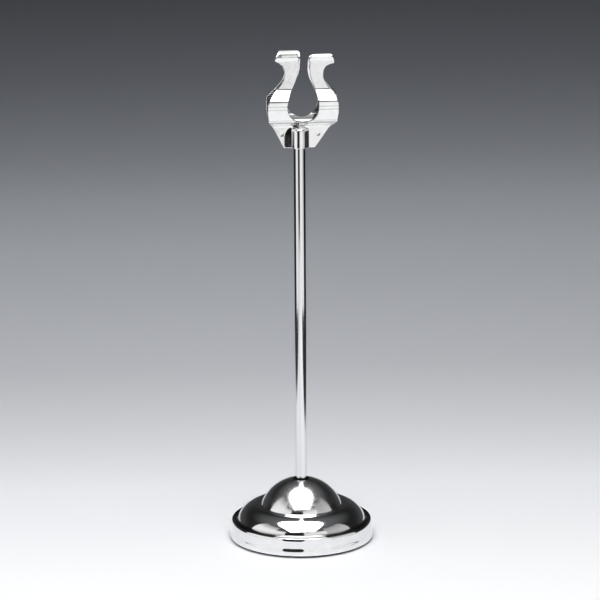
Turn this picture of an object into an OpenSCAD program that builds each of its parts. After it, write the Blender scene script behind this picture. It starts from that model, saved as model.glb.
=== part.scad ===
// Place card holder: a weighted, stepped base, a slim rod and a sprung harp clip of two pressed jaws.
// The origin is the middle of the foot on the table. +Z is up, and -Y is the side that a guest reads.

/* [Overall] */
// Height from the table to the tips of the jaws
overall_h = 203.2; // [160:0.1:320]

/* [Base shell] */
// Diameter of the rim
base_d = 57.15; // [54:0.05:64]
// Height of the dome's crown above the table, before the seat is pressed
base_h = 25; // [23:0.1:30]
// Thickness of the pressed steel
shell_t = 0.8; // [0.6:0.05:1]
// Height of the rim's lower edge above the table
foot_lift = 0.9; // [0.4:0.05:1.1]
// How far the hem at the foot of the rim stands out from its wall
hem_out = 0.35; // [0.2:0.05:0.5]
// Height where the hem starts to draw in
hem_low_z = 2.2; // [1.8:0.1:2.8]
// Height where the wall is upright again
hem_high_z = 4.4; // [3.8:0.1:5]
// Radius of the bead on top of the rim
bead_r = 1.4; // [1.25:0.05:1.6]
// Height of the bead's middle above the table
bead_z = 6.65; // [6.4:0.05:6.9]
// Distance in from the rim to the middle of the shoulder's arc
shoulder_in = 11.25; // [11:0.05:11.6]
// Height of the shoulder's crown above the table
shoulder_top_z = 14.2; // [13.9:0.05:14.6]
// Radius of the shoulder's arc
shoulder_r = 8.8; // [8.6:0.1:9.2]
// Distance in from the middle of the shoulder's arc to the foot of the dome
dome_in = 1.1; // [0.7:0.05:1.6]
// Radius of the fillet round the dome's foot
dome_fillet_r = 0.4; // [0.3:0.05:0.8]
// Diameter of the seat that is pressed into the crown for the rod
seat_d = 5.6; // [5.2:0.1:7]
// Depth of the seat below its edge
seat_drop = 0.5; // [0.3:0.05:0.8]

/* [Ballast and foot] */
// Gap all round between the ballast and the shell
ballast_gap = 0.25; // [0.1:0.05:0.4]
// Height of the ballast's upper face above the table
ballast_top_z = 10.5; // [9.8:0.1:12]
// Diameter of the boss that carries the crown of the shell
boss_d = 13; // [10:0.5:16]
// Thickness of the felt
pad_t = 1.4; // [1.2:0.1:1.8]
// Gap between the felt and the rim
pad_gap = 0.5; // [0.3:0.1:1]
// Diameter of the pocket for the nut
pocket_d = 13; // [10.6:0.1:15]
// Height of the pocket's roof above the table
pocket_top_z = 8.2; // [7.4:0.1:8.8]

/* [Rod] */
// Diameter of the rod
rod_d = 4.76; // [4.4:0.02:5]
// Diameter of the threaded tail
tail_d = 4; // [3.6:0.05:4.1]
// Height of the tail's lower end above the table
tail_end_z = 2.2; // [2:0.1:2.8]
// Bevel on the rod's ends
rod_bevel = 0.4; // [0.2:0.05:0.6]

/* [Nut and washers] */
// Width of the nut across its flats
nut_flats = 7; // [6:0.1:8]
// Height of the nut
nut_h = 3.2; // [2.4:0.1:3.4]
// Bevel on the nut's corners
nut_bevel = 0.5; // [0.3:0.05:0.7]
// Outer diameter of the flat washer
washer_d = 9; // [8:0.1:10]
// Thickness of the flat washer
washer_t = 0.8; // [0.5:0.05:1]
// Outer diameter of the spring washer
spring_washer_d = 7.6; // [7:0.1:8.4]
// Thickness of the spring washer
spring_washer_t = 1; // [0.6:0.05:1.1]
// Width of the split in the spring washer
split_w = 0.7; // [0.4:0.05:1]

/* [Clip in side view] */
// Thickness of the sprung sheet
sheet_t = 0.8; // [0.6:0.05:0.9]
// Height of the welded flat above the clip's lower edge
flat_h = 9.3; // [9:0.1:9.8]
// Height of the fold under the belly
fold_z = 12.3; // [11.8:0.1:12.8]
// Distance of the fold from the middle of the clip
fold_out = 4.6; // [4:0.1:5]
// Height of the crease at the top of the belly
crease_z = 20.5; // [19.5:0.1:21.5]
// Distance of the crease from the middle of the clip
crease_out = 5.6; // [5:0.1:6.2]
// Height of the bend where the neck starts
neck_bend_z = 24.3; // [23.6:0.1:25]
// Lean of the neck towards the other jaw, in degrees
neck_lean = 8; // [6:0.5:10]
// Height of the line where the jaws grip the card
grip_z = 35.7; // [34.5:0.1:37.5]
// Radius of the lip above the grip
lip_r = 4; // [3:0.1:5]
// Angle through which the lip turns outwards, in degrees
lip_angle = 45; // [30:1:55]
// Straight end of the lip
lip_len = 1.4; // [1:0.1:2.4]

/* [Clip in front view] */
// Sideways set of the harp from the rod's axis
harp_shift = 1.3; // [0:0.1:2]
// Lean of the harp's arms to the right, in degrees
harp_lean = 2.2; // [0:0.1:3]
// Width of the clip at its lower edge
clip_foot_w = 12.6; // [11:0.1:14]
// Width of the belly
belly_w = 28.4; // [26:0.1:31]
// Width across the two arms at the neck
neck_w = 15.7; // [14.5:0.1:17]
// Width across the two tips
tip_w = 23.7; // [21:0.1:26]
// Width of the slope at a tip's outer corner
tip_taper_w = 1.85; // [1:0.05:2.5]
// Height of the slope at a tip's outer corner
tip_taper_h = 3.4; // [2.4:0.1:3.8]
// Width of the round at a tip's inner corner
tip_round_w = 1.2; // [0.6:0.1:2]
// Height of the round at a tip's inner corner
tip_round_h = 2.2; // [1.2:0.1:3]
// How much further out the right tips reach than the left ones
tip_reach = 0.3; // [0:0.1:1]
// Width of the round at the inner corner of the rear jaw's right tip
rear_round_w = 3.2; // [1:0.1:4]
// How much lower the right tips end than the left ones
tip_drop = 1.4; // [0:0.1:2]
// Width of the opening at the belly
slot_w = 12.5; // [11.5:0.1:13.5]
// Height of the opening's lower end
slot_bottom_z = 11.6; // [11:0.1:12.2]
// Gap between the front jaw's two tips
front_gap = 4.4; // [3.4:0.1:5.4]
// Gap between the rear jaw's two tips
rear_gap = 2.9; // [2:0.1:4]

/* [Clip fits] */
// Gap between the two jaws, at their flats and at the grip
jaw_gap = 0.1; // [0.06:0.02:0.2]
// Gap between the rod and the socket round it
socket_gap = 0.06; // [0.04:0.01:0.1]
// Height of the socket pressed round the rod
socket_h = 8.4; // [7.6:0.1:8.7]
// Radius of the socket's upper edge
socket_round_r = 1.1; // [0.8:0.1:1.4]
// Room between the rod's end and the socket's roof
rod_end_gap = 0.4; // [0.3:0.05:0.6]
// Diameter of a weld mark
weld_d = 1.6; // [1:0.1:2]
// Depth of a weld mark
weld_depth = 0.15; // [0.1:0.05:0.25]
// Height of the weld marks above the clip's lower edge
weld_z = 5.7; // [5:0.1:6.5]
// Distance of each weld mark from the rod's axis
weld_x = 7.3; // [6:0.1:7.6]

/* [Hidden] */
$fn = 96;

// How far a cut runs past the face that it leaves
overrun = 1;
// How far arcs that would only touch are lapped, so that they cross in a clean line
lap = 0.01;
// Gap round the tail in the shell, the ballast, the washers and the nut
tail_gap = 0.1;
// Radii of the bends in the sheet
flat_bend_r = 1.6;
fold_bend_r = 1.5;
crease_bend_r = 1.2;
neck_bend_r = 2.5;
// Steps in one bend, and in one curve of the outline
bend_steps = 6;
curve_steps = 12;
// Where the outline's curves start and end, as shares of the heights that they follow
belly_corner_share = 0.86;
belly_side_share = 0.912;
arm_start_share = 0.9;
neck_share = 0.85;
flare_start_share = 0.86;
flare_turn_share = 0.97;
arm_inside_end_share = 0.92;

rim_r = base_d / 2;
rod_r = rod_d / 2;
tail_r = tail_d / 2;
shoulder_mid_r = rim_r - shoulder_in;
shoulder_z = shoulder_top_z - shoulder_r;
wall_r = rim_r - hem_out;
bead_mid_r = wall_r - bead_r;

// The valley where the bead's circle and the shoulder's cross, reckoned from the shoulder's middle.
// Its floor lies just under the crossing.
bead_way = [bead_mid_r - shoulder_mid_r, bead_z - shoulder_z];
valley_along = (pow(shoulder_r, 2) - pow(bead_r, 2) + pow(norm(bead_way), 2)) / (2 * norm(bead_way));
valley_aside = sqrt(pow(shoulder_r, 2) - pow(valley_along, 2));
valley_z = shoulder_z + (bead_way[1] * valley_along + bead_way[0] * valley_aside) / norm(bead_way) - lap;

// The dome's sphere goes through its crown and through the circle where it meets the shoulder
dome_foot_r = shoulder_mid_r - dome_in;
dome_rise = base_h - shoulder_top_z;
dome_r = (pow(dome_foot_r, 2) + pow(dome_rise, 2)) / (2 * dome_rise);
dome_z = base_h - dome_r;
seat_z = dome_z + sqrt(pow(dome_r, 2) - pow(seat_d / 2, 2)) - seat_drop;

// The fillet's middle: it rests on the shoulder's crown and touches the dome
dome_fillet_z = shoulder_top_z + dome_fillet_r - lap;
dome_fillet_out = sqrt(pow(dome_r + dome_fillet_r - lap, 2) - pow(dome_fillet_z - dome_z, 2));
dome_fillet_angle = atan2(dome_fillet_z - dome_z, dome_fillet_out);

// The stack under the ballast, from the pocket's roof down
washer_z = pocket_top_z - washer_t;
spring_washer_z = washer_z - spring_washer_t;
nut_z = spring_washer_z - nut_h;

// The clip hangs from the overall height
clip_h = grip_z + lip_r * sin(lip_angle) + lip_len * cos(lip_angle) + sheet_t / 2 * sin(lip_angle);
clip_z = overall_h - clip_h;
socket_r = rod_r + socket_gap;
rod_top_z = clip_z + socket_h - sheet_t - rod_end_gap;

// Distance of the sheet's middle from the clip's middle, where the jaws meet
seat_out = (sheet_t + jaw_gap) / 2;
neck_run = (grip_z - lip_r * sin(neck_lean) - neck_bend_z) / cos(neck_lean);
neck_bend_out = seat_out + lip_r * (1 - cos(neck_lean)) + neck_run * sin(neck_lean);

// Points are pairs. heading() is the direction from one to the next, in degrees.
function heading(a, b) = atan2(b[1] - a[1], b[0] - a[0]);
function along(angle) = [cos(angle), sin(angle)];
function left_of(angle) = [-sin(angle), cos(angle)];

// A bend of radius r at corner b, on the way from a to c, as [point, heading] pairs
function bend(a, b, c, r) =
    let (
        start = heading(a, b),
        turn = heading(b, c) - start,
        side = sign(turn),
        first = b - along(start) * r * tan(abs(turn) / 2),
        middle = first + left_of(start) * side * r
    )
    [for (i = [0 : bend_steps])
        let (now = start + turn * i / bend_steps)
        [middle - left_of(now) * side * r, now]];

// The middle of the sheet in side view, from the clip's lower edge to the lip
sheet_corners = [
    [seat_out, 0],
    [seat_out, flat_h],
    [fold_out, fold_z],
    [crease_out, crease_z],
    [neck_bend_out, neck_bend_z],
    [seat_out + lip_r * (1 - cos(neck_lean)), grip_z - lip_r * sin(neck_lean)],
];
sheet_bends = [flat_bend_r, fold_bend_r, crease_bend_r, neck_bend_r];
lip_arc = [for (i = [0 : 2 * bend_steps])
    let (a = -neck_lean + (lip_angle + neck_lean) * i / (2 * bend_steps))
    [[seat_out + lip_r * (1 - cos(a)), grip_z + lip_r * sin(a)], 90 - a]];
lip_end = lip_arc[2 * bend_steps];
sheet_path = [
    [sheet_corners[0], 90],
    for (i = [0 : len(sheet_bends) - 1])
        each bend(sheet_corners[i], sheet_corners[i + 1], sheet_corners[i + 2], sheet_bends[i]),
    each lip_arc,
    [lip_end[0] + along(lip_end[1]) * lip_len, lip_end[1]],
];

// The sheet in side view: its middle line, thickened to both sides
function sheet_outline(t) = concat(
    [for (p = sheet_path) p[0] - left_of(p[1]) * t / 2],
    [for (i = [len(sheet_path) - 1 : -1 : 0]) sheet_path[i][0] + left_of(sheet_path[i][1]) * t / 2]
);

// A curve that leaves a and meets c, drawn towards b
function curve(a, b, c) = [for (i = [0 : curve_steps])
    let (u = i / curve_steps)
    a * pow(1 - u, 2) + b * 2 * u * (1 - u) + c * pow(u, 2)];

// A curve from a to b that is upright at both ends
function swell(a, b) = [for (i = [0 : curve_steps])
    let (u = i / curve_steps, s = (1 - cos(180 * u)) / 2)
    [a[0] + (b[0] - a[0]) * s, a[1] + (b[1] - a[1]) * u]];

// Half of the harp in front view, from the lower edge up the outside and over the tip
slot_z = slot_bottom_z + slot_w / 2;
belly_corner = [belly_w / 2, fold_z];
function arm_outside(foot_x, tip_x, top) =
    let (foot = [foot_x, 0], side_start = foot + (belly_corner - foot) * belly_corner_share)
    concat(
        [foot],
        curve(side_start, belly_corner, [belly_w / 2, slot_z * belly_side_share]),
        swell([belly_w / 2, crease_z * arm_start_share], [neck_w / 2, grip_z * neck_share]),
        curve(
            [neck_w / 2, grip_z * flare_start_share],
            [neck_w / 2, grip_z * flare_turn_share],
            [tip_x, top - tip_taper_h]
        )
    );
// The slope at a tip's outer corner: straight on the left tips, and rounded on the right ones
function tip_corner(tip_x, top, rounded) =
    let (
        low = [tip_x, top - tip_taper_h],
        high = [tip_x - tip_taper_w, top],
        round = curve(low, [tip_x, top], high)
    )
    rounded ? [for (i = [1 : curve_steps]) round[i]] : [high];
// The inside of the arm, from the tip down to the opening's widest place
function arm_inside(gap, round_w, top) =
    concat(
        curve([gap / 2 + round_w, top], [gap / 2, top], [gap / 2, top - tip_round_h]),
        swell([gap / 2, grip_z * arm_inside_end_share], [slot_w / 2, slot_z])
    );
// The lower quarter of the opening
slot_quarter = [for (i = [1 : curve_steps])
    let (a = -90 * i / curve_steps)
    [slot_w / 2 * cos(a), slot_z + slot_w / 2 * sin(a)]];

// One side of the harp, set over by the shift and the lean. The foot stays centred on the rod.
function half_harp(gap, side, round_w) =
    let (
        foot_x = clip_foot_w / 2 - side * harp_shift,
        tip_x = tip_w / 2 + (side > 0 ? tip_reach : 0),
        top = clip_h - (side > 0 ? tip_drop : 0),
        outside = concat(arm_outside(foot_x, tip_x, top), tip_corner(tip_x, top, side > 0))
    )
    [for (p = concat(outside, arm_inside(gap, round_w, top), slot_quarter))
        [side * p[0] + harp_shift + max(p[1] - slot_z, 0) * tan(harp_lean), p[1]]];
function reversed(list) = [for (i = [len(list) - 1 : -1 : 0]) list[i]];
function harp_outline(gap, right_round_w) =
    concat(half_harp(gap, 1, right_round_w), reversed(half_harp(gap, -1, tip_round_w)));

// The fillet round the dome's foot, in half section
module dome_foot(inset) {
    difference() {
        square([dome_fillet_out, dome_z + (dome_r - inset) * sin(dome_fillet_angle)]);
        translate([dome_fillet_out, dome_fillet_z]) circle(dome_fillet_r + inset);
    }
}

// The rim's wall up to the bead, with its hem, in half section
module rim_wall(inset) {
    polygon(concat(
        [[0, 0], [rim_r - inset, 0]],
        swell([rim_r - inset, hem_low_z], [wall_r - inset, hem_high_z]),
        [[wall_r - inset, bead_z], [0, bead_z]]
    ));
}

// The base's outer outline in half section, drawn in by an inset
module base_section(inset) {
    intersection() {
        square([rim_r, base_h]);
        difference() {
            union() {
                rim_wall(inset);
                translate([bead_mid_r, bead_z]) circle(bead_r - inset);
                square([bead_mid_r, valley_z - inset]);
                translate([shoulder_mid_r, shoulder_z]) circle(shoulder_r - inset);
                square([shoulder_mid_r, shoulder_top_z - inset]);
                dome_foot(inset);
                translate([0, dome_z]) circle(dome_r - inset);
            }
            translate([0, seat_z - inset]) square([seat_d / 2 + inset, base_h]);
        }
    }
}

// A ring with its lower face on the plane z
module ring(outer_r, inner_r, h, z) {
    translate([0, 0, z])
        difference() {
            cylinder(r = outer_r, h = h);
            translate([0, 0, -overrun]) cylinder(r = inner_r, h = h + 2 * overrun);
        }
}

// Pressed and plated shell, open below
module base_shell() {
    color("gainsboro")
        difference() {
            rotate_extrude()
                difference() {
                    base_section(0);
                    base_section(shell_t);
                    square([rim_r + overrun, foot_lift]);
                }
            translate([0, 0, seat_z - shell_t - overrun])
                cylinder(r = tail_r + tail_gap, h = shell_t + 2 * overrun);
        }
}

// Cast ballast: it fills the rim and shoulder, and its boss carries the crown
module base_weight() {
    color("dimgray")
        difference() {
            rotate_extrude()
                intersection() {
                    base_section(shell_t + ballast_gap);
                    union() {
                        translate([0, pad_t]) square([rim_r, ballast_top_z - pad_t]);
                        translate([0, pad_t]) square([boss_d / 2, seat_z]);
                    }
                }
            cylinder(r = pocket_d / 2, h = pocket_top_z);
            cylinder(r = tail_r + tail_gap, h = seat_z + overrun);
        }
}

// Felt disc that the object stands on
module foot_pad() {
    color("black") cylinder(r = rim_r - shell_t - pad_gap, h = pad_t);
}

// Rod with a stepped tail: the step sits on the crown's seat
module stem() {
    color("silver")
        rotate_extrude()
            polygon([
                [0, tail_end_z],
                [tail_r - rod_bevel, tail_end_z],
                [tail_r, tail_end_z + rod_bevel],
                [tail_r, seat_z],
                [rod_r, seat_z],
                [rod_r, rod_top_z - rod_bevel],
                [rod_r - rod_bevel, rod_top_z],
                [0, rod_top_z],
            ]);
}

module flat_washer() {
    color("lightgray") ring(washer_d / 2, tail_r + tail_gap, washer_t, washer_z);
}

// Spring washer, drawn pressed flat by the nut
module lock_washer() {
    color("lightgray")
        difference() {
            ring(spring_washer_d / 2, tail_r + tail_gap, spring_washer_t, spring_washer_z);
            translate([0, -split_w / 2, spring_washer_z - overrun])
                cube([spring_washer_d, split_w, spring_washer_t + 2 * overrun]);
        }
}

// Hexagon nut: a cone rounds its lower corners
module stem_nut() {
    corner_r = nut_flats / sqrt(3);
    color("lightgray")
        difference() {
            intersection() {
                translate([0, 0, nut_z]) cylinder(r = corner_r, h = nut_h, $fn = 6);
                union() {
                    translate([0, 0, nut_z])
                        cylinder(r1 = corner_r - nut_bevel, r2 = corner_r, h = nut_bevel);
                    translate([0, 0, nut_z + nut_bevel]) cylinder(r = corner_r, h = nut_h);
                }
            }
            translate([0, 0, nut_z - overrun]) cylinder(r = tail_r + tail_gap, h = nut_h + 2 * overrun);
        }
}

// The sheet of one jaw before its socket is pressed, on the -Y side of the clip
module bent_sheet(gap, right_round_w) {
    intersection() {
        rotate([90, 0, 0])
            linear_extrude(crease_out + sheet_t + lip_r)
                polygon(harp_outline(gap, right_round_w));
        translate([-belly_w, 0, 0])
            rotate([90, 0, -90])
                translate([0, 0, -2 * belly_w])
                    linear_extrude(2 * belly_w)
                        polygon(sheet_outline(sheet_t));
    }
}

// Half of the socket: the sheet pressed round the rod, with a rounded upper edge
module half_socket() {
    outer_r = socket_r + sheet_t;
    rotate([0, 0, 180])
        rotate_extrude(angle = 180)
            union() {
                square([outer_r, socket_h - socket_round_r]);
                square([outer_r - socket_round_r, socket_h]);
                translate([outer_r - socket_round_r, socket_h - socket_round_r]) circle(socket_round_r);
            }
}

// One jaw on the -Y side, with its lower edge on the plane z = 0
module jaw(gap, right_round_w) {
    difference() {
        union() {
            bent_sheet(gap, right_round_w);
            intersection() {
                half_socket();
                translate([-belly_w, -belly_w - jaw_gap / 2, 0]) cube([2 * belly_w, belly_w, socket_h]);
            }
        }
        translate([0, 0, -overrun]) cylinder(r = socket_r, h = socket_h - sheet_t + overrun);
        for (side = [-1, 1])
            translate([side * weld_x, -seat_out - sheet_t / 2 + weld_depth, weld_z])
                rotate([90, 0, 0]) cylinder(r = weld_d / 2, h = overrun);
    }
}

module front_jaw() {
    color("whitesmoke") translate([0, 0, clip_z]) jaw(front_gap, tip_round_w);
}

module rear_jaw() {
    color("whitesmoke") translate([0, 0, clip_z]) mirror([0, 1, 0]) jaw(rear_gap, rear_round_w);
}

base_shell();
base_weight();
foot_pad();
stem();
flat_washer();
lock_washer();
stem_nut();
front_jaw();
rear_jaw();
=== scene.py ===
import math

import bmesh
import bpy
import numpy as np
from mathutils import Matrix, Vector
from mathutils.geometry import delaunay_2d_cdt


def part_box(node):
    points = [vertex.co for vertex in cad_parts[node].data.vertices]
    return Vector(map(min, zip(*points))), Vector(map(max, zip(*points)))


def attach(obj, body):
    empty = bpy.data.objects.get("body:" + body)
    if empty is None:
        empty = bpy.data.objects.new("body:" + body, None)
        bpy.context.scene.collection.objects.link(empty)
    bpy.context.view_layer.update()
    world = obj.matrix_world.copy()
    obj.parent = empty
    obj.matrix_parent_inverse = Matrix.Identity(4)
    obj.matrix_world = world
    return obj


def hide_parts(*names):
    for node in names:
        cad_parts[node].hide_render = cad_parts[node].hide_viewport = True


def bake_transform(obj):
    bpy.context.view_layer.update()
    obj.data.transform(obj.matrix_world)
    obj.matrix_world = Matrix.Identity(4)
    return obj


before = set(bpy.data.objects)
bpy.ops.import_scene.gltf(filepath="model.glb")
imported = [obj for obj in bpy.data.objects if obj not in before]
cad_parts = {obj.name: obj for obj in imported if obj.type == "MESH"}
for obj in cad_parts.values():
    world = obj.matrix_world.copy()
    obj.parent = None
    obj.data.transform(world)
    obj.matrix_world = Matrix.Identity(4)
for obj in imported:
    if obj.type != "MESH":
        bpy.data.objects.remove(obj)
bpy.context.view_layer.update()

# Lengths below are in millimetres, and the scene is in metres
MM = 0.001

# Base shell, in half section
RIM_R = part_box("base_shell")[1].x / MM
FOOT_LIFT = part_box("base_shell")[0].z / MM
SHELL_T = 0.8
FOOT_EDGE_R = 0.25
HEM_TOP_Z = 2.2
HEM_IN_Z = 4.4
HEM_OUT = 0.35
BEAD_HALF_W = 0.65
BEAD_HALF_H = 1.75
BEAD_Z = 6.3
SHOULDER_R = 8.8
SHOULDER_IN = 11.25
SHOULDER_MID_R = RIM_R - SHOULDER_IN
SHOULDER_TOP_Z = 14.2
# The valley between bead and shoulder is a curve that is drawn towards this place
VALLEY_IN = 2.1
VALLEY_Z = 7.35
VALLEY = (RIM_R - VALLEY_IN, VALLEY_Z)
# Angles in the half section, in degrees, where the bead ends and the shoulder starts and ends
BEAD_END = 108
SHOULDER_START = 21
SHOULDER_END = 89
DOME_TOP_Z = 25.0
DOME_IN = 1.1
DOME_FOOT_R = SHOULDER_MID_R - DOME_IN
DOME_FILLET_R = 0.4
SEAT_R = 2.8
SEAT_EDGE_R = 0.2
SEAT_DROP = 0.5
TAIL_HOLE_R = 2.1

# Segments round the base, and steps along its section
BASE_SEGMENTS = 256
HEM_STEPS = 16
WALL_LINE_STEPS = 4
BEAD_STEPS = 28
VALLEY_STEPS = 20
SHOULDER_STEPS = 48
FILLET_STEPS = 10
DOME_STEPS = 56
EDGE_STEPS = 4
# A radius that counts as none
ON_AXIS = 1e-6

# Felt disc under the base
PAD_LOW, PAD_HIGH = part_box("foot_pad")
PAD_EDGE_R = 0.3
PAD_STEPS = 12
PAD_EDGE_STEPS = 5

# Rod
ROD_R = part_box("stem")[1].x / MM
ROD_TOP_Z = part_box("stem")[1].z / MM
TAIL_R = 2.0
TAIL_END_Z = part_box("stem")[0].z / MM
ROD_BEVEL = 0.4
ROD_STEP_BEVEL = 0.1
ROD_SEGMENTS = 128
ROD_STEPS = 60

# Clip, in side view: distances are from the middle of the clip and heights from its lower edge
CLIP_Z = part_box("front_jaw")[0].z / MM
SHEET_T = 0.8
JAW_GAP = 0.1
SEAT_OUT = (SHEET_T + JAW_GAP) / 2
FLAT_H = 9.3
FOLD = (4.6, 12.3)
CREASE = (5.6, 20.5)
NECK_BEND_Z = 24.3
NECK_LEAN = 8
GRIP_Z = 35.7
LIP_R = 4.0
LIP_ANGLE = 45
LIP_LEN = 1.4
BEND_RADII = (1.6, 1.5, 1.2, 2.5)
EDGE_R = 0.3
# Steps in a bend and in the lip, and the longest step along the sheet
BEND_STEPS = 12
LIP_STEPS = 24
PATH_STEP = 0.5

# Clip, in front view
HARP_SHIFT = 1.3
HARP_LEAN = 2.2
CLIP_FOOT_W = 12.6
BELLY_W = 28.4
NECK_W = 15.7
TIP_W = 23.7
TIP_TAPER = (1.84, 3.4)
TIP_INNER_ROUND = (1.2, 2.2)
REAR_RIGHT_ROUND_W = 3.2
RIGHT_TIP_REACH = 0.3
RIGHT_TIP_DROP = 1.4
SLOT_W = 12.5
SLOT_BOTTOM_Z = 11.6
SLOT_Z = SLOT_BOTTOM_Z + SLOT_W / 2
FRONT_GAP = 4.4
REAR_GAP = 2.9
# Heights as shares of the sizes that they follow
BELLY_START_SHARE = 0.86
BELLY_SIDE_SHARE = 0.912
BELLY_END_SHARE = 0.9
NECK_SHARE = 0.85
FLARE_SHARE = 0.97
GAP_END_SHARE = 0.92
# Steps in the outline's curves
CURVE_STEPS = 24
SWELL_STEPS = 40
SLOT_STEPS = 32

# Socket that is pressed round the rod, and the weld marks beside it
SOCKET_PLAY = 0.06
SOCKET_BORE_R = ROD_R + SOCKET_PLAY
SOCKET_R = SOCKET_BORE_R + SHEET_T
SOCKET_H = 8.4
SOCKET_ROUND_R = 1.1
SOCKET_END_H = 0.4
SOCKET_ROOT_R = 0.4
SOCKET_SIDE_H = 4.8
SOCKET_PULL_W = 2.4
SOCKET_PULL_SLOPE = 0.18
SOCKET_FLANK = 43
WELD_X = 7.3
WELD_Z = 5.7
WELD_R = 0.8
WELD_DEPTH = 0.15
# Where a weld mark's slope starts, and how wide the slope is, as shares of the mark's radius
WELD_FLOOR_SHARE = 0.6
WELD_SLOPE_SHARE = 0.5

# Spacing of points on the sheet's outline and of rows and columns across it
OUTLINE_STEP = 0.22
OUTLINE_LEAST_SHARE = 0.45
ROW_STEP = 0.09
COLUMN_STEP = 0.6
# The finer grid at the socket, its reach past it, and the rings at a weld mark
SOCKET_ROW_STEP = 0.17
SOCKET_COLUMN_STEP = 0.15
SOCKET_FIRST_ROW = 0.1
SOCKET_GRID_OVER = 1.4
SOCKET_GRID_SHARE = 1.7
WELD_RINGS = 8
WELD_RING_STEPS = 28
WELD_GRID_SHARE = 1.3
# Room between the outline of a sheet's face and the points inside it
FILL_MARGIN = 0.12
# How far the flat of a face starts in from the round of its edge
EDGE_MARGIN = 0.06
# Angles, in degrees, of the rings on a rounded edge
EDGE_TURNS = (90, 65, 45, 25, 0)
# A mitre is divided by the cosine of half its turn, and at least by this
MITRE_LEAST = 0.6
# Points of an outline that are closer than this are one
SAME_POINT = 1e-4
# What the triangulation takes: it keeps the triangles inside the outline, and joins points this close
KEEP_INSIDE = 1
JOIN_WITHIN = 1e-5

# Painted shade on the plating: places in millimetres, and the share of the full colour there
# Distance from the axis: painted shade in the crown's seat and in the valley over the rim
BASE_PAINTED_SHADE = (
    (2, 0.03), (3, 0.03), (3.5, 1),
    (25.2, 1), (26, 0.25), (27.4, 0.25), (27.8, 1), (30, 1),
)
# Distance from the axis, and the share of the full haze: the dome is the haziest
BASE_HAZE = ((0, 1), (14.6, 1), (16.2, 0.4), (30, 0.4))
# Height above the clip's lower edge: painted shade at its bends and at the left tips' ends
BEND_PAINTED_SHADE = (
    (10.8, 1), (11.1, 0.55), (11.4, 0.55), (11.7, 1),
    (12.3, 1), (12.55, 0.55), (12.8, 1),
    (16.8, 1), (17.2, 0.72), (17.6, 1),
    (18.1, 1), (18.5, 0.68), (18.9, 1),
    (20.3, 1), (20.5, 0.2), (20.8, 0.2), (21, 1),
    (39, 1), (39.2, 0.25), (39.8, 0.25),
)
# The same height: painted shade inside the folds, on faces that look upwards
FOLD_PAINTED_SHADE = ((10.7, 1), (11.2, 0.12), (12.2, 0.12), (12.6, 1))
# The least upright part of the normal on such a face
UPWARD = 0.3

# Camera
CAMERA_DISTANCE = 6000
CAMERA_AZIMUTH = -4
CAMERA_ELEVATION = 18.05
CAMERA_AIM = (-0.11, 0.02, 99.585)
CAMERA_ROLL = 0.32
IMAGE_PX = 600
FOCAL_PX = 15692.4
SENSOR_MM = 36
# The nearest and the farthest place that it sees, in metres
CAMERA_CLIP = (0.5, 60)


# Meshes

def make_object(name, mesh_builder, material):
    """A new smooth-shaded object from a bmesh, linked to the scene."""
    mesh = bpy.data.meshes.new(name)
    mesh_builder.to_mesh(mesh)
    mesh_builder.free()
    for polygon in mesh.polygons:
        polygon.use_smooth = True
    mesh.materials.append(material)
    made = bpy.data.objects.new(name, mesh)
    bpy.context.scene.collection.objects.link(made)
    return made


def arc(middle, radius, start, end, steps):
    """Points on a circle's arc, from one angle to another, in degrees."""
    angles = [math.radians(start + (end - start) * i / steps) for i in range(steps + 1)]
    return [(middle[0] + radius * math.cos(a), middle[1] + radius * math.sin(a)) for a in angles]


def angle_of(middle, point):
    """The direction of a point from a middle, in degrees."""
    return math.degrees(math.atan2(point[1] - middle[1], point[0] - middle[0]))


def line(start, end, steps):
    """Points on a straight line, without its two ends."""
    shares = [i / steps for i in range(1, steps)]
    return [(start[0] + (end[0] - start[0]) * u, start[1] + (end[1] - start[1]) * u) for u in shares]


def curve(start, towards, end, steps=CURVE_STEPS):
    """A curve that leaves start and meets end, drawn towards a third point."""
    points = []
    for i in range(steps + 1):
        u = i / steps
        pulls = zip(start, towards, end)
        points.append(tuple(a * (1 - u) ** 2 + b * 2 * u * (1 - u) + c * u * u for a, b, c in pulls))
    return points


def swell(start, end, steps=SWELL_STEPS):
    """A curve that is upright at both ends."""
    points = []
    for i in range(steps + 1):
        u = i / steps
        s = (1 - math.cos(math.pi * u)) / 2
        points.append((start[0] + (end[0] - start[0]) * s, start[1] + (end[1] - start[1]) * u))
    return points


def smooth_step(u):
    """A share that leaves 0 and meets 1 without a kink."""
    u = min(max(u, 0), 1)
    return u * u * (3 - 2 * u)


def inset(profile, distance):
    """A copy of an open profile, drawn in to its left by a distance."""
    moved = []
    for i, point in enumerate(profile):
        before = profile[max(i - 1, 0)]
        after = profile[min(i + 1, len(profile) - 1)]
        run = Vector((after[0] - before[0], after[1] - before[1])).normalized()
        moved.append((point[0] - run.y * distance, point[1] + run.x * distance))
    return moved


def lathe(name, profile, segments, material, closed):
    """A surface of revolution about Z. A profile point on the axis becomes one vertex."""
    builder = bmesh.new()
    turns = [2 * math.pi * i / segments for i in range(segments)]
    rings = []
    for r, z in profile:
        if r < ON_AXIS:
            rings.append([builder.verts.new((0, 0, z * MM))] * segments)
            continue
        ring = [(r * math.cos(a) * MM, r * math.sin(a) * MM, z * MM) for a in turns]
        rings.append([builder.verts.new(point) for point in ring])
    pairs = list(zip(rings, rings[1:]))
    if closed:
        pairs.append((rings[-1], rings[0]))
    for low, high in pairs:
        for i in range(segments):
            j = (i + 1) % segments
            corners = list(dict.fromkeys((low[i], low[j], high[j], high[i])))
            builder.faces.new(corners)
    return make_object(name, builder, material)


# Base

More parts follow.
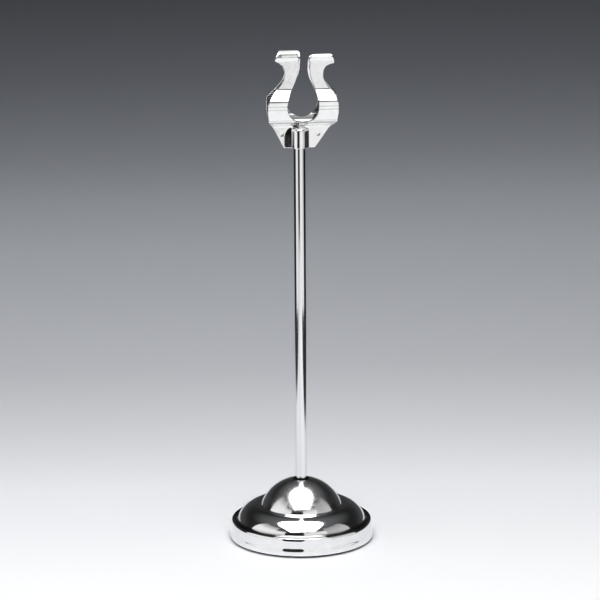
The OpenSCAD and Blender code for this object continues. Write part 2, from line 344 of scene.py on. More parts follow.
def base_profile():
    """The shell's outer outline, from its foot edge up to the crown's seat, and the seat's height."""
    wall_r = RIM_R - HEM_OUT
    hem = []
    for i in range(1, HEM_STEPS + 1):
        u = i / HEM_STEPS
        hem.append((RIM_R - HEM_OUT * smooth_step(u), HEM_TOP_Z + (HEM_IN_Z - HEM_TOP_Z) * u))
    # The bead is taller than it is wide, and a round valley joins it to the shoulder
    bead = []
    for r, z in arc((0, 0), 1, 0, BEAD_END, BEAD_STEPS):
        bead.append((wall_r - BEAD_HALF_W + r * BEAD_HALF_W, BEAD_Z + z * BEAD_HALF_H))
    shoulder = (SHOULDER_MID_R, SHOULDER_TOP_Z - SHOULDER_R)
    shoulder_arc = arc(shoulder, SHOULDER_R, SHOULDER_START, SHOULDER_END, SHOULDER_STEPS)
    valley = curve(bead[-1], VALLEY, shoulder_arc[0], VALLEY_STEPS)
    # The dome's sphere, and the fillet round its foot
    rise = DOME_TOP_Z - SHOULDER_TOP_Z
    dome_r = (DOME_FOOT_R ** 2 + rise ** 2) / (2 * rise)
    dome = (0, DOME_TOP_Z - dome_r)
    foot_z = SHOULDER_TOP_Z + DOME_FILLET_R
    dome_fillet = (math.sqrt((dome_r + DOME_FILLET_R) ** 2 - (foot_z - dome[1]) ** 2), foot_z)
    dome_turn = angle_of(dome, dome_fillet)
    crown_turn = math.degrees(math.acos((SEAT_R + SEAT_EDGE_R) / dome_r))
    crown_z = dome[1] + dome_r * math.sin(math.radians(crown_turn))
    seat_z = crown_z - SEAT_DROP
    return [
        *arc((RIM_R - FOOT_EDGE_R, FOOT_LIFT + FOOT_EDGE_R), FOOT_EDGE_R, -90, 0, EDGE_STEPS),
        (RIM_R, HEM_TOP_Z),
        *hem,
        *line(hem[-1], (wall_r, BEAD_Z), WALL_LINE_STEPS),
        *bead,
        *valley[1:],
        *shoulder_arc[1:],
        *arc(dome_fillet, DOME_FILLET_R, 270, 180 + dome_turn, FILLET_STEPS),
        *arc(dome, dome_r, dome_turn, crown_turn, DOME_STEPS)[1:],
        *arc((SEAT_R + SEAT_EDGE_R, crown_z - SEAT_EDGE_R), SEAT_EDGE_R, 90, 180, EDGE_STEPS)[1:],
        (SEAT_R, seat_z),
        (TAIL_HOLE_R, seat_z),
    ], seat_z


def make_base(material):
    """The plated shell. Returns the height of the seat in its crown."""
    outside, seat_z = base_profile()
    inside = inset(outside, SHELL_T)
    shell = lathe("base_shell_plated", outside + inside[::-1], BASE_SEGMENTS, material, True)
    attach(shell, "stand")
    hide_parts("base_shell")
    return seat_z


def make_pad(material):
    """The felt disc, with rounded edges."""
    low_z = PAD_LOW.z / MM
    high_z = PAD_HIGH.z / MM
    edge = PAD_HIGH.x / MM - PAD_EDGE_R
    profile = [
        (0, low_z),
        *line((0, low_z), (edge, low_z), PAD_STEPS),
        *arc((edge, low_z + PAD_EDGE_R), PAD_EDGE_R, -90, 0, PAD_EDGE_STEPS),
        *arc((edge, high_z - PAD_EDGE_R), PAD_EDGE_R, 0, 90, PAD_EDGE_STEPS),
        (0, high_z),
    ]
    pad = lathe("foot_felt", profile, BASE_SEGMENTS, material, False)
    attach(pad, "stand")
    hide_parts("foot_pad")


def make_rod(material, seat_z):
    """The rod and its tail, with the step between them on the crown's seat."""
    profile = [
        (0, TAIL_END_Z),
        (TAIL_R - ROD_BEVEL, TAIL_END_Z),
        (TAIL_R, TAIL_END_Z + ROD_BEVEL),
        (TAIL_R, seat_z),
        (ROD_R - ROD_STEP_BEVEL, seat_z),
        (ROD_R, seat_z + ROD_STEP_BEVEL),
        *line((ROD_R, seat_z), (ROD_R, ROD_TOP_Z - ROD_BEVEL), ROD_STEPS),
        (ROD_R, ROD_TOP_Z - ROD_BEVEL),
        (ROD_R - ROD_BEVEL, ROD_TOP_Z),
        (0, ROD_TOP_Z),
    ]
    rod = lathe("stem_rod", profile, ROD_SEGMENTS, material, False)
    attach(rod, "stand")
    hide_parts("stem")


# Clip

def along(angle):
    """The unit vector at an angle in degrees."""
    return Vector((math.cos(math.radians(angle)), math.sin(math.radians(angle))))


def left_of(angle):
    """The unit vector to the left of one at an angle in degrees."""
    return Vector((-math.sin(math.radians(angle)), math.cos(math.radians(angle))))


def sheet_path():
    """The middle of the sheet in side view: rows of distance out, height and heading."""
    lean = math.radians(NECK_LEAN)
    grip_foot = (SEAT_OUT + LIP_R * (1 - math.cos(lean)), GRIP_Z - LIP_R * math.sin(lean))
    neck_out = grip_foot[0] + (grip_foot[1] - NECK_BEND_Z) * math.tan(lean)
    corners = [(SEAT_OUT, 0), (SEAT_OUT, FLAT_H), FOLD, CREASE, (neck_out, NECK_BEND_Z), grip_foot]
    rows = [(SEAT_OUT, 0, 90)]
    for before, corner, after, radius in zip(corners, corners[1:], corners[2:], BEND_RADII):
        first = angle_of(before, corner)
        turn = angle_of(corner, after) - first
        side = math.copysign(1, turn)
        back = radius * math.tan(math.radians(abs(turn) / 2))
        start = Vector(corner) - along(first) * back
        middle = start + left_of(first) * side * radius
        for i in range(BEND_STEPS + 1):
            now = first + turn * i / BEND_STEPS
            rows.append((*(middle - left_of(now) * side * radius), now))
    for i in range(LIP_STEPS + 1):
        a = -NECK_LEAN + (LIP_ANGLE + NECK_LEAN) * i / LIP_STEPS
        turn = math.radians(a)
        rows.append((SEAT_OUT + LIP_R * (1 - math.cos(turn)), GRIP_Z + LIP_R * math.sin(turn), 90 - a))
    out, z, end_heading = rows[-1]
    turn = math.radians(end_heading)
    rows.append((out + LIP_LEN * math.cos(turn), z + LIP_LEN * math.sin(turn), end_heading))
    dense = [rows[0]]
    for row in rows[1:]:
        last = dense[-1]
        steps = max(1, math.ceil(math.dist(last[:2], row[:2]) / PATH_STEP))
        for i in range(1, steps + 1):
            dense.append(tuple(a + (b - a) * i / steps for a, b in zip(last, row)))
    return np.array(dense)


# The sheet's path, the distance along it to each row, and the height of its end
PATH = sheet_path()
RUN = np.concatenate([[0], np.cumsum(np.hypot(np.diff(PATH[:, 0]), np.diff(PATH[:, 1])))])
TIP_TOP_Z = PATH[-1, 1]


def half_harp(gap, side, round_w):
    """One side of the harp in front view, from its foot up the outside and down to the opening."""
    foot = (CLIP_FOOT_W / 2 - side * HARP_SHIFT, 0)
    belly = BELLY_W / 2
    neck = NECK_W / 2
    corner = (belly, FOLD[1])
    start = (foot[0] + (corner[0] - foot[0]) * BELLY_START_SHARE, corner[1] * BELLY_START_SHARE)
    top = TIP_TOP_Z - (RIGHT_TIP_DROP if side > 0 else 0)
    tip = TIP_W / 2 + (RIGHT_TIP_REACH if side > 0 else 0)
    widest = (tip, top - TIP_TAPER[1])
    slope_top = (tip - TIP_TAPER[0], top)
    # The outer corner's slope is straight on the left tips and rounded on the right ones
    slope = curve(widest, (tip, top), slope_top)[1:] if side > 0 else [slope_top]
    inner_round = (gap / 2, top - TIP_INNER_ROUND[1])
    quarter = arc((0, SLOT_Z), SLOT_W / 2, 0, -90, SLOT_STEPS)
    points = [
        foot,
        *curve(start, corner, (belly, SLOT_Z * BELLY_SIDE_SHARE)),
        *swell((belly, CREASE[1] * BELLY_END_SHARE), (neck, GRIP_Z * NECK_SHARE)),
        *curve((neck, GRIP_Z * NECK_SHARE), (neck, GRIP_Z * FLARE_SHARE), widest)[1:],
        *slope,
        *curve((gap / 2 + round_w, top), (gap / 2, top), inner_round),
        *swell((gap / 2, GRIP_Z * GAP_END_SHARE), (SLOT_W / 2, SLOT_Z)),
        *quarter[1:],
    ]
    lean = math.tan(math.radians(HARP_LEAN))
    return [(side * x + HARP_SHIFT + max(z - SLOT_Z, 0) * lean, z) for x, z in points]


def flat_outline(gap, right_round_w):
    """The jaw's outline on the flattened sheet: x across and s along the path, evenly spaced."""
    front = np.array(half_harp(gap, 1, right_round_w) + half_harp(gap, -1, TIP_INNER_ROUND[0])[::-1])
    run = np.interp(front[:, 1], PATH[:, 1], RUN)
    points = np.column_stack([front[:, 0], run])
    keep = np.hypot(*(points - np.roll(points, 1, axis=0)).T) > SAME_POINT
    points = points[keep]
    spaced = []
    for start, end in zip(points, np.roll(points, -1, axis=0)):
        steps = max(1, math.ceil(np.hypot(*(end - start)) / OUTLINE_STEP))
        spaced.extend(start + (end - start) * i / steps for i in range(steps))
    spaced = np.array(spaced)
    # Points that lie too close to the last one kept are dropped
    kept = [spaced[0]]
    for point in spaced[1:]:
        if np.hypot(*(point - kept[-1])) > OUTLINE_STEP * OUTLINE_LEAST_SHARE:
            kept.append(point)
    return np.array(kept)


def inward(points):
    """The mitred inward normals of a closed outline that runs counter-clockwise."""
    ahead = np.roll(points, -1, axis=0) - points
    ahead /= np.hypot(*ahead.T)[:, None]
    behind = np.roll(ahead, 1, axis=0)
    normals = np.column_stack([-(ahead + behind)[:, 1], (ahead + behind)[:, 0]])
    normals /= np.hypot(*normals.T)[:, None]
    edge = np.column_stack([-ahead[:, 1], ahead[:, 0]])
    return normals / np.maximum((normals * edge).sum(1), MITRE_LEAST)[:, None]


def inside_by(points, outline, margin):
    """Which points lie inside a closed outline, at least a margin from it."""
    start = outline
    end = np.roll(outline, -1, axis=0)
    edge = end - start
    found = np.zeros(len(points), bool)
    for n, point in enumerate(points):
        rel = point - start
        share = np.clip((rel * edge).sum(1) / (edge * edge).sum(1), 0, 1)
        if np.hypot(*(rel - share[:, None] * edge).T).min() < margin:
            continue
        crosses = (start[:, 1] > point[1]) != (end[:, 1] > point[1])
        at = start[crosses, 0] + (point[1] - start[crosses, 1]) / edge[crosses, 1] * edge[crosses, 0]
        found[n] = (at > point[0]).sum() % 2 == 1
    return found


def fill_points(outline):
    """Points across the sheet: rows along its bends, and a finer grid at the socket and weld marks."""
    rows = [0]
    for run in RUN[1:]:
        if run - rows[-1] > ROW_STEP:
            rows.append(run)
    columns = np.arange(-BELLY_W / 2, BELLY_W / 2 + 2 * HARP_SHIFT, COLUMN_STEP)
    points = [(x, s) for s in rows for x in columns]
    socket_rows = np.arange(SOCKET_FIRST_ROW, SOCKET_H + SOCKET_GRID_OVER, SOCKET_ROW_STEP)
    socket_reach = SOCKET_R * SOCKET_GRID_SHARE
    socket_columns = np.arange(-socket_reach, socket_reach, SOCKET_COLUMN_STEP)
    points += [(x, s) for s in socket_rows for x in socket_columns]
    for side in (-1, 1):
        for ring in range(1, WELD_RINGS + 1):
            r = WELD_R * WELD_GRID_SHARE * ring / WELD_RINGS
            for turn in range(WELD_RING_STEPS):
                # Every other ring is turned by half a step
                a = 2 * math.pi * (turn + ring % 2 / 2) / WELD_RING_STEPS
                points.append((side * WELD_X + r * math.cos(a), WELD_Z + r * math.sin(a)))
    points = np.array(points)
    # One point is kept in each small cell
    cells = {}
    for n, point in enumerate(points):
        cells[tuple(np.round(point / ROW_STEP).astype(int))] = n
    points = points[sorted(cells.values())]
    return points[inside_by(points, outline, FILL_MARGIN)]


def pressed_out(x, z, flat, bore):
    """How far out the sheet's face lies where the socket is pressed, for one of its two faces."""
    radius = SOCKET_BORE_R if bore else SOCKET_R
    top = SOCKET_H - SHEET_T if bore else SOCKET_H
    over = z - (top - SOCKET_ROUND_R)
    if over > 0:
        drop = SOCKET_ROUND_R - math.sqrt(max(SOCKET_ROUND_R ** 2 - min(over, SOCKET_ROUND_R) ** 2, 0))
        radius -= drop
    if z > top:
        radius -= (radius - flat) * min((z - top) / SOCKET_END_H, 1)
    if radius <= flat:
        return flat
    if x > 0 and not bore:
        # The right flank is drawn straight
        turn = math.radians(SOCKET_FLANK)
        if x < radius * math.sin(turn):
            return math.sqrt(radius ** 2 - x ** 2)
        return max(flat, (radius - x * math.sin(turn)) / math.cos(turn))
    root = EDGE_R if bore else SOCKET_ROOT_R
    end = math.sqrt((radius + root) ** 2 - (flat + root) ** 2)
    meet = end * radius / (radius + root)
    if abs(x) <= meet:
        return math.sqrt(radius ** 2 - x ** 2)
    if abs(x) < end:
        return flat + root - math.sqrt(root ** 2 - (end - abs(x)) ** 2)
    return flat


def pulled_out(x, z):
    """How far the flat left of the socket is drawn out with it, under an arch."""
    rise = min(max(z - SOCKET_SIDE_H, 0) / (SOCKET_H - SOCKET_SIDE_H), 1)
    reach = SOCKET_PULL_W * math.sqrt(1 - rise ** 2)
    if x > 0:
        return 0
    return SOCKET_PULL_SLOPE * max(reach - max(-x - SOCKET_R, 0), 0)


def weld_dip(x, z):
    """How deep the weld marks are at a place on the flat."""
    away = min(math.hypot(x - WELD_X, z - WELD_Z), math.hypot(x + WELD_X, z - WELD_Z))
    return WELD_DEPTH * (1 - smooth_step((away / WELD_R - WELD_FLOOR_SHARE) / WELD_SLOPE_SHARE))


def sheet_point(x, run, level):
    """A point of the sheet as distance out and height. Level runs from -1, its inner face, to 1."""
    out, z, turn = (np.interp(run, RUN, PATH[:, i]) for i in range(3))
    across = left_of(turn) * SHEET_T / 2
    outer = Vector((out, z)) - across
    inner = Vector((out, z)) + across
    flat = outer.x + pulled_out(x, outer.y)
    outer.x = pressed_out(x, outer.y, flat, False) - weld_dip(x, outer.y)
    inner.x = pressed_out(x, inner.y, inner.x, True)
    return inner + (outer - inner) * (level + 1) / 2


def make_jaw(name, node, gap, right_round_w, side, material):
    """One pressed jaw: side is -1 at the front and 1 at the rear."""
    outline = flat_outline(gap, right_round_w)
    normals = inward(outline)
    builder = bmesh.new()

    def add(x, run, level):
        out, z = sheet_point(x, run, level)
        return builder.verts.new((x * MM, side * out * MM, (CLIP_Z + z) * MM))

    # Rings from the outer face round the edge to the inner face
    rounds = []
    for turn in EDGE_TURNS:
        a = math.radians(turn)
        rounds.append((EDGE_R * (1 - math.cos(a)), 1 - 2 * EDGE_R / SHEET_T * (1 - math.sin(a))))
    flat_in = EDGE_R + EDGE_MARGIN
    levels = [(flat_in, 1.0), *rounds, *[(d, -level) for d, level in rounds[::-1]], (flat_in, -1.0)]
    rings = []
    for distance, level in levels:
        rings.append([add(p[0], p[1], level) for p in outline + normals * distance])
    count = len(outline)

    def face(corners):
        builder.faces.new(corners if side < 0 else corners[::-1])

    for now, after in zip(rings, rings[1:]):
        for i in range(count):
            j = (i + 1) % count
            face([now[j], now[i], after[i], after[j]])

    # The two faces of the sheet share one triangulation
    border = outline + normals * flat_in
    filling = fill_points(border)
    flat_points = [Vector(p) for p in np.concatenate([border, filling])]
    made, _, triangles, origins, _, _ = delaunay_2d_cdt(
        flat_points, [], [list(range(count))], KEEP_INSIDE, JOIN_WITHIN
    )
    outer, inner = [], []
    for point, origin in zip(made, origins):
        on_border = [n for n in origin if n < count]
        if on_border:
            outer.append(rings[0][on_border[0]])
            inner.append(rings[-1][on_border[0]])
        else:
            outer.append(add(point.x, point.y, 1))
            inner.append(add(point.x, point.y, -1))
    for triangle in triangles:
        face([outer[n] for n in triangle])
        face([inner[n] for n in triangle[::-1]])

    jaw = make_object(name, builder, material)
    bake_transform(jaw)
    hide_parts(node)


# Materials

# Noise in the plating: waves per metre, and detail
TINT_NOISE = (260, 3)
MARK_NOISE = (900, 4)
WAVE_DETAIL = 2
# Height of the plating's waves, in metres
WAVE_HEIGHT = 0.00002
# The haze where the polish is clearest, as a share of the full haze
CLEAR_SHARE = 0.5
# A stretch or a tint that changes nothing
EVEN = (1, 1, 1)


def new_material(name):
    """A new node material: itself, its nodes, its links and its shader."""
    material = bpy.data.materials.new(name)
    material.use_nodes = True
    nodes = material.node_tree.nodes
    return material, nodes, material.node_tree.links, nodes["Principled BSDF"]


def add_split(nodes, links, vector):
    """The parts of a vector, as sockets by axis."""
    split = nodes.new("ShaderNodeSeparateXYZ")
    links.new(vector, split.inputs["Vector"])
    return split.outputs


def add_math(nodes, links, operation, *values):
    """The result of an operation on values, each of them a socket or a number."""
    node = nodes.new("ShaderNodeMath")
    node.operation = operation
    for socket, value in zip(node.inputs, values):
        if isinstance(value, bpy.types.NodeSocket):
            links.new(value, socket)
        else:
            socket.default_value = value
    return node.outputs[0]


def add_noise(nodes, links, coordinates, scale, detail, stretch=EVEN):
    """A noise texture in object space. Scale is in waves per metre."""
    mapping = nodes.new("ShaderNodeMapping")
    mapping.inputs["Scale"].default_value = stretch
    noise = nodes.new("ShaderNodeTexNoise")
    noise.inputs["Scale"].default_value = scale
    noise.inputs["Detail"].default_value = detail
    links.new(coordinates.outputs["Object"], mapping.inputs["Vector"])
    links.new(mapping.outputs["Vector"], noise.inputs["Vector"])
    return noise.outputs["Fac"]


def add_ramp(nodes, links, value, low, high, start=0.3, end=0.7):
    """A ramp between two colours, given as grey values or triples."""
    ramp = nodes.new("ShaderNodeValToRGB")
    for element, place, colour in zip(ramp.color_ramp.elements, (start, end), (low, high)):
        element.position = place
        element.color = (*colour, 1) if isinstance(colour, tuple) else (colour, colour, colour, 1)
    links.new(value, ramp.inputs["Fac"])
    return ramp.outputs["Color"]


def add_bump(nodes, links, shader, height, distance, strength):
    """Relief from a height between 0 and 1. Distance is its full height in metres."""
    bump = nodes.new("ShaderNodeBump")
    bump.inputs["Distance"].default_value = distance
    bump.inputs["Strength"].default_value = strength
    links.new(height, bump.inputs["Height"])
    links.new(bump.outputs["Normal"], shader.inputs["Normal"])


def in_metres(stops):
    """Stops whose places are given in millimetres."""
    return [(place * MM, share) for place, share in stops]


def add_range(nodes, links, value, start, end, low, high):
    """A smooth change from low to high, while a value goes from start to end."""
    reach = nodes.new("ShaderNodeMapRange")
    reach.interpolation_type = "SMOOTHSTEP"
    for name, number in (("From Min", start), ("From Max", end), ("To Min", low), ("To Max", high)):
        reach.inputs[name].default_value = number
    links.new(value, reach.inputs["Value"])
    return reach.outputs["Result"]


def add_stops(nodes, links, value, stops, first_tint=EVEN, last_tint=EVEN):
    """A ramp through several stops, each a value and a grey, that goes from one tint to another."""
    first, last = stops[0][0], stops[-1][0]
    share = nodes.new("ShaderNodeMapRange")
    share.inputs["From Min"].default_value = first
    share.inputs["From Max"].default_value = last
    links.new(value, share.inputs["Value"])
    ramp = nodes.new("ShaderNodeValToRGB")
    elements = ramp.color_ramp.elements
    # New elements start in the middle and get their places below
    while len(elements) < len(stops):
        elements.new(0.5)
    for element, (value_there, grey) in zip(elements, stops):
        place = (value_there - first) / (last - first)
        tint = Vector(first_tint).lerp(Vector(last_tint), place)
        element.position = place
        element.color = (*(tint * grey), 1)
    links.new(share.outputs["Result"], ramp.inputs["Fac"])
    return ramp.outputs["Color"]


def add_shade(nodes, links, colour, value, stops):
    """A colour, multiplied by greys that follow a value through several stops."""
    shade = nodes.new("ShaderNodeVectorMath")
    shade.operation = "MULTIPLY"
    links.new(colour, shade.inputs[0])
    links.new(add_stops(nodes, links, value, stops), shade.inputs[1])
    return shade.outputs["Vector"]


def add_height(nodes, links, coordinates):
    """The height in object space."""
    return add_split(nodes, links, coordinates.outputs["Object"])["Z"]


def add_upward_height(nodes, links, coordinates):
    """The height on faces that look upwards, and 0 on the others."""
    normal = add_split(nodes, links, coordinates.outputs["Normal"])
    upward = add_math(nodes, links, "GREATER_THAN", normal["Z"], UPWARD)
    return add_math(nodes, links, "MULTIPLY", add_height(nodes, links, coordinates), upward)


def add_radius(nodes, links, coordinates):
    """The distance from the object's upright axis."""
    level = nodes.new("ShaderNodeVectorMath")
    level.operation = "MULTIPLY"
    level.inputs[1].default_value = (1, 1, 0)
    links.new(coordinates.outputs["Object"], level.inputs[0])
    length = nodes.new("ShaderNodeVectorMath")
    length.operation = "LENGTH"
    links.new(level.outputs["Vector"], length.inputs[0])
    return length.outputs["Value"]


def chrome(
    name, colour, haze, wave_scale, wave_strength, wave_stretch=EVEN,
    mark_stretch=EVEN, dull_share=0.94, tint_stretch=EVEN, painted_shades=(), haze_stops=(),
):
    """Bright plating with faint polish marks and slight waves.

    Each painted shade darkens its colour along a measure: the function that adds the measure, and its
    stops. The haze follows its own stops by the distance from the axis.
    """
    material, nodes, links, shader = new_material(name)
    coordinates = nodes.new("ShaderNodeTexCoord")
    shader.inputs["Metallic"].default_value = 1.0
    tint = add_noise(nodes, links, coordinates, *TINT_NOISE, tint_stretch)
    low = tuple(c * dull_share for c in colour)
    plating = add_ramp(nodes, links, tint, low, colour)
    # Painted shade: each measure darkens the plating's colour through its stops
    for add_measure, stops in painted_shades:
        measure = add_measure(nodes, links, coordinates)
        plating = add_shade(nodes, links, plating, measure, in_metres(stops))
    links.new(plating, shader.inputs["Base Color"])
    marks = add_noise(nodes, links, coordinates, *MARK_NOISE, mark_stretch)
    roughness = add_ramp(nodes, links, marks, haze * CLEAR_SHARE, haze)
    if haze_stops:
        measure = add_radius(nodes, links, coordinates)
        roughness = add_shade(nodes, links, roughness, measure, in_metres(haze_stops))
    links.new(roughness, shader.inputs["Roughness"])
    waves = add_noise(nodes, links, coordinates, wave_scale, WAVE_DETAIL, wave_stretch)
    add_bump(nodes, links, shader, waves, WAVE_HEIGHT, wave_strength)
    return material


def grained(name, scale, detail, colours, roughness, relief, strength, metallic=0.0, sheen=0.0):
    """A material whose colour, roughness and relief all follow one grain."""
    material, nodes, links, shader = new_material(name)
    coordinates = nodes.new("ShaderNodeTexCoord")
    shader.inputs["Metallic"].default_value = metallic
    shader.inputs["Sheen Weight"].default_value = sheen
    grain = add_noise(nodes, links, coordinates, scale, detail)
    links.new(add_ramp(nodes, links, grain, *colours), shader.inputs["Base Color"])
    links.new(add_ramp(nodes, links, grain, *roughness), shader.inputs["Roughness"])
    add_bump(nodes, links, shader, grain, relief, strength)
    return material


def cast_iron(name):
    return grained(
        name, scale=1400, detail=8, colours=(0.05, 0.16), roughness=(0.75, 0.55),
        relief=0.0003, strength=0.6, metallic=0.6,
    )


def zinc(name):
    return grained(
        name, scale=2200, detail=5, colours=((0.48, 0.49, 0.5), (0.68, 0.68, 0.67)), roughness=(0.28, 0.42),
        relief=0.00005, strength=0.4, metallic=1.0,
    )


def felt(name):
    return grained(
        name, scale=3200, detail=8, colours=(0.012, 0.05), roughness=(0.85, 1.0),
        relief=0.0004, strength=0.8, sheen=0.1,
    )


# Stage

FLOOR_HALF = 9000
# Distance behind the object's middle, and the paper's grey there: painted light falloff
FLOOR_PAINTED_FALLOFF = (
    (-40, 0.89), (70, 0.88), (150, 0.755), (230, 0.66), (400, 0.655),
    (470, 0.6), (540, 0.475), (660, 0.33), (900, 0.15),
)
FLOOR_NEAR_TINT = (0.99, 1.0, 1.02)
FLOOR_FAR_TINT = (0.93, 1.0, 1.15)
FLOOR_ROUGHNESS = 0.7
FLOOR_SPECULAR = 0.1
# Where the painted pool of light on the paper ends on three sides: the start and the end of each fall to a
# dark share
POOL_LEFT = (-172, -215)
POOL_RIGHT = (134, 170)
POOL_RIGHT_SLOPE = 0.1
POOL_FRONT = (-370, -430)
POOL_DARK_SHARE = 0.02
# The overhead light
SOFTBOX_Z = 660
SOFTBOX_X = -24
SOFTBOX_HALF_W = 328
SOFTBOX_FRONT_Y = -686
SOFTBOX_ROUND_Y = -190
SOFTBOX_BACK_REACH = 413
SOFTBOX_RADIANCE = 3.55
SOFTBOX_STEPS = 24
# Curved diffusers round the object: their distances, and the azimuths between which each stands
WALL_R = 310
OUTER_WALL_R = 720
WALL_STEPS = 24
LEFT_OUTER_WALL = (-103, -80)
LEFT_SIDE_WALL = (-80, -56)
LEFT_FRONT_WALL = (-56, -35)
RIGHT_FRONT_WALL = (1, 44)
RIGHT_SIDE_WALL = (44, 74)
RIGHT_OUTER_WALL = (74, 92)
# Height on a wall that stands at LIGHT_R, and its radiance there
LIGHT_R = 400
LEFT_SIDE_LIGHT = ((0, 1.0), (280, 0.95), (400, 0.55), (520, 0.3))
FRONT_LIGHT = ((0, 1.0), (260, 0.95), (340, 0.5))
RIGHT_SIDE_LIGHT = ((0, 1.0), (120, 0.6), (380, 0.4), (480, 0.2))
# The sill between the front walls: its height at both ends, on a wall at LIGHT_R, and its steepness there
SILL_H = 110
SILL_POWER = 8
# The room: its greys, and the ranges of a direction's upright or backward part over which they change
WORLD_LOW_GREY = 0.018
WORLD_TOP_GREY = 0.13
WORLD_BACK_GREY = 0.06
WORLD_TOP_RANGE = (0.5, 0.95)
WORLD_BACK_RANGE = (0.3, 0.9)
WORLD_BACK_HEIGHT_RANGE = (0.0, 0.5)
WORLD_TINT = (0.96, 0.98, 1, 1)


def floor_material():
    """Pale paper with painted light falloff: it darkens away from the object, and a painted pool of light
    ends on three sides.
    """
    material, nodes, links, shader = new_material("floor_paper")
    coordinates = nodes.new("ShaderNodeTexCoord")
    place = add_split(nodes, links, coordinates.outputs["Object"])
    # The paper's colour carries the painted light falloff and the painted pool of light
    depths = in_metres(FLOOR_PAINTED_FALLOFF)
    paper = add_stops(nodes, links, place["Y"], depths, FLOOR_NEAR_TINT, FLOOR_FAR_TINT)
    # The right edge runs outwards behind the object
    behind = add_math(nodes, links, "MAXIMUM", place["Y"], 0)
    aside = add_math(nodes, links, "MULTIPLY_ADD", behind, -POOL_RIGHT_SLOPE, place["X"])
    falls = ((place["X"], POOL_LEFT), (aside, POOL_RIGHT), (place["Y"], POOL_FRONT))
    for measure, (start, end) in falls:
        fall = add_range(nodes, links, measure, start * MM, end * MM, 1, POOL_DARK_SHARE)
        shade = nodes.new("ShaderNodeVectorMath")
        shade.operation = "SCALE"
        links.new(paper, shade.inputs[0])
        links.new(fall, shade.inputs["Scale"])
        paper = shade.outputs["Vector"]
    links.new(paper, shader.inputs["Base Color"])
    shader.inputs["Roughness"].default_value = FLOOR_ROUGHNESS
    shader.inputs["Specular IOR Level"].default_value = FLOOR_SPECULAR
    return material


def make_floor():
    """The paper that the object stands on."""
    builder = bmesh.new()
    half = FLOOR_HALF * MM
    corners = ((-half, -half), (half, -half), (half, half), (-half, half))
    builder.faces.new([builder.verts.new((x, y, 0)) for x, y in corners])
    floor = make_object("floor", builder, floor_material())


def lit_material(name, light):
    """A lit diffuser whose radiance changes with height. Radiance 1 shows as white in a mirror."""
    material = bpy.data.materials.new(name)
    material.use_nodes = True
    nodes = material.node_tree.nodes
    links = material.node_tree.links
    nodes.clear()
    height = add_height(nodes, links, nodes.new("ShaderNodeTexCoord"))
    glow = nodes.new("ShaderNodeEmission")
    links.new(add_stops(nodes, links, height, in_metres(light)), glow.inputs["Color"])
    end = nodes.new("ShaderNodeOutputMaterial")
    links.new(glow.outputs["Emission"], end.inputs["Surface"])
    return material


def set_as_light(made):
    """Keep a lit mesh out of the camera's sight and out of the shadows."""
    made.visible_camera = False
    made.visible_shadow = False


def make_wall(name, azimuths, light, radius=WALL_R, sill=False):
    """A curved diffuser round the object, between two azimuths. Azimuth 0 is in front.

    The light's heights are those on a wall at LIGHT_R. A sill is lowest in its middle.
    """
    scale = radius / LIGHT_R
    light = [(height * scale, radiance) for height, radiance in light]
    builder = bmesh.new()
    columns = []
    for i in range(WALL_STEPS + 1):
        u = i / WALL_STEPS
        a = math.radians(azimuths[0] + (azimuths[1] - azimuths[0]) * u)
        foot = Vector((math.sin(a), -math.cos(a), 0)) * radius * MM
        height = SILL_H * scale * (2 * u - 1) ** SILL_POWER if sill else light[-1][0]
        columns.append([builder.verts.new(foot + Vector((0, 0, z * MM))) for z in (0, height)])
    for now, after in zip(columns, columns[1:]):
        builder.faces.new([now[0], now[1], after[1], after[0]])
    set_as_light(make_object(name, builder, lit_material(name, light)))


def make_softbox():
    """The overhead light: straight in front and round at the back."""
    builder = bmesh.new()
    outline = [(-SOFTBOX_HALF_W, SOFTBOX_FRONT_Y), (SOFTBOX_HALF_W, SOFTBOX_FRONT_Y)]
    for x, y in arc((0, 0), 1, 0, 180, SOFTBOX_STEPS):
        outline.append((x * SOFTBOX_HALF_W, SOFTBOX_ROUND_Y + y * SOFTBOX_BACK_REACH))
    corners = [Vector((SOFTBOX_X + x, y, SOFTBOX_Z)) * MM for x, y in outline]
    builder.faces.new([builder.verts.new(corner) for corner in corners])
    light = ((0, SOFTBOX_RADIANCE), (SOFTBOX_Z, SOFTBOX_RADIANCE))
    set_as_light(make_object("overhead_softbox", builder, lit_material("overhead_softbox", light)))


def make_world():
    """A dark room whose ceiling, and whose far wall near the floor, are a little lighter."""
    world = bpy.data.worlds.new("studio")
    world.use_nodes = True
    nodes = world.node_tree.nodes
    links = world.node_tree.links
    coordinates = nodes.new("ShaderNodeTexCoord")
    direction = add_split(nodes, links, coordinates.outputs["Generated"])
    grey = add_range(nodes, links, direction["Z"], *WORLD_TOP_RANGE, WORLD_LOW_GREY, WORLD_TOP_GREY)
    far = add_range(nodes, links, direction["Y"], *WORLD_BACK_RANGE, 0, WORLD_BACK_GREY)
    low = add_range(nodes, links, direction["Z"], *WORLD_BACK_HEIGHT_RANGE, 1, 0)
    strength = add_math(nodes, links, "MULTIPLY_ADD", far, low, grey)
    links.new(strength, nodes["Background"].inputs["Strength"])
    nodes["Background"].inputs["Color"].default_value = WORLD_TINT
    bpy.context.scene.world = world


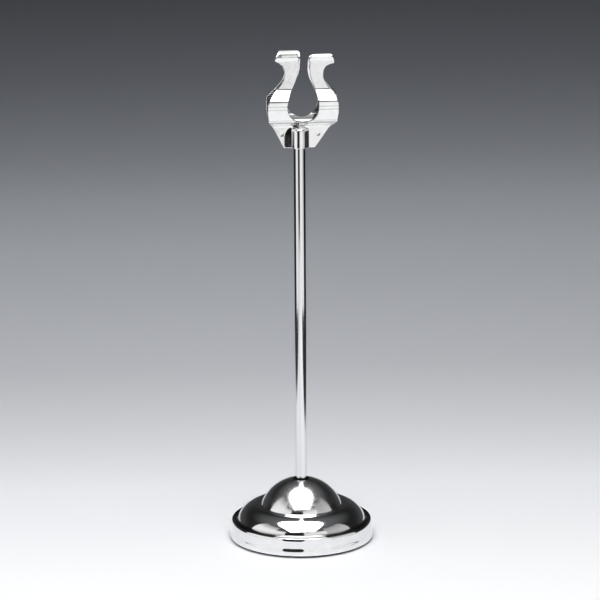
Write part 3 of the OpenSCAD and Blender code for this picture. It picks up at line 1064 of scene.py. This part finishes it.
def make_lights():
    """The overhead light, the diffusers and the room."""
    make_softbox()
    make_wall("left_outer_diffuser", LEFT_OUTER_WALL, LEFT_SIDE_LIGHT, OUTER_WALL_R)
    make_wall("left_side_diffuser", LEFT_SIDE_WALL, LEFT_SIDE_LIGHT)
    make_wall("left_front_diffuser", LEFT_FRONT_WALL, FRONT_LIGHT)
    make_wall("right_front_diffuser", RIGHT_FRONT_WALL, FRONT_LIGHT)
    make_wall("right_side_diffuser", RIGHT_SIDE_WALL, RIGHT_SIDE_LIGHT)
    make_wall("right_outer_diffuser", RIGHT_OUTER_WALL, RIGHT_SIDE_LIGHT, OUTER_WALL_R)
    make_wall("gap_sill", (LEFT_FRONT_WALL[1], RIGHT_FRONT_WALL[0]), FRONT_LIGHT, sill=True)
    make_world()


def make_camera():
    """The camera of the photo, fitted to it."""
    data = bpy.data.cameras.new("camera")
    data.sensor_width = SENSOR_MM
    data.lens = FOCAL_PX * SENSOR_MM / IMAGE_PX
    data.clip_start, data.clip_end = CAMERA_CLIP
    camera = bpy.data.objects.new("camera", data)
    a = math.radians(CAMERA_AZIMUTH)
    rise = CAMERA_DISTANCE * math.tan(math.radians(CAMERA_ELEVATION))
    place = Vector((math.sin(a) * CAMERA_DISTANCE, -math.cos(a) * CAMERA_DISTANCE, rise))
    ahead = (Vector(CAMERA_AIM) - place).normalized()
    right = ahead.cross(Vector((0, 0, 1))).normalized()
    up = right.cross(ahead)
    turn = math.radians(CAMERA_ROLL)
    rolled_right = right * math.cos(turn) - up * math.sin(turn)
    rolled_up = up * math.cos(turn) + right * math.sin(turn)
    matrix = Matrix((rolled_right, rolled_up, -ahead)).transposed().to_4x4()
    matrix.translation = place * MM
    camera.matrix_world = matrix
    bpy.context.scene.collection.objects.link(camera)
    bpy.context.scene.camera = camera


# Scene

make_camera()
base_chrome = chrome(
    "base_chrome", colour=(0.86, 0.86, 0.87), haze=0.26, wave_scale=420, wave_strength=0.25,
    # The base's colour carries painted shade in the crown's seat and in the valley over the rim
    painted_shades=[(add_radius, BASE_PAINTED_SHADE)], haze_stops=BASE_HAZE,
)
stem_chrome = chrome(
    "stem_chrome", colour=(0.85, 0.85, 0.86), haze=0.1, wave_scale=180, wave_strength=0.25,
    wave_stretch=(1, 1, 0.3), mark_stretch=(6, 6, 0.15), dull_share=0.78, tint_stretch=(4, 4, 0.02),
)
clip_chrome = chrome(
    "clip_chrome", colour=(0.88, 0.88, 0.88), haze=0.14, wave_scale=900, wave_strength=0.3,
    wave_stretch=(0.06, 1, 1),
    # The clip's colour carries painted shade at its bends, at its left tips' ends and inside its folds
    painted_shades=[
        (add_height, [(CLIP_Z + height, grey) for height, grey in BEND_PAINTED_SHADE]),
        (add_upward_height, [(CLIP_Z + height, grey) for height, grey in FOLD_PAINTED_SHADE]),
    ],
)
crown_seat_z = make_base(base_chrome)
make_rod(stem_chrome, crown_seat_z)
make_pad(felt("foot_felt"))
make_jaw("clip_front_jaw", "front_jaw", FRONT_GAP, TIP_INNER_ROUND[0], -1, clip_chrome)
make_jaw("clip_rear_jaw", "rear_jaw", REAR_GAP, REAR_RIGHT_ROUND_W, 1, clip_chrome)

hidden_metals = {"base_weight": cast_iron("ballast_iron")}
fastener_zinc = zinc("fastener_zinc")
for fastener in ("flat_washer", "lock_washer", "stem_nut"):
    hidden_metals[fastener] = fastener_zinc
for node, metal in hidden_metals.items():
    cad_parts[node].data.materials.clear()
    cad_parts[node].data.materials.append(metal)

make_floor()
make_lights()
bpy.context.scene.view_settings.view_transform = "Standard"
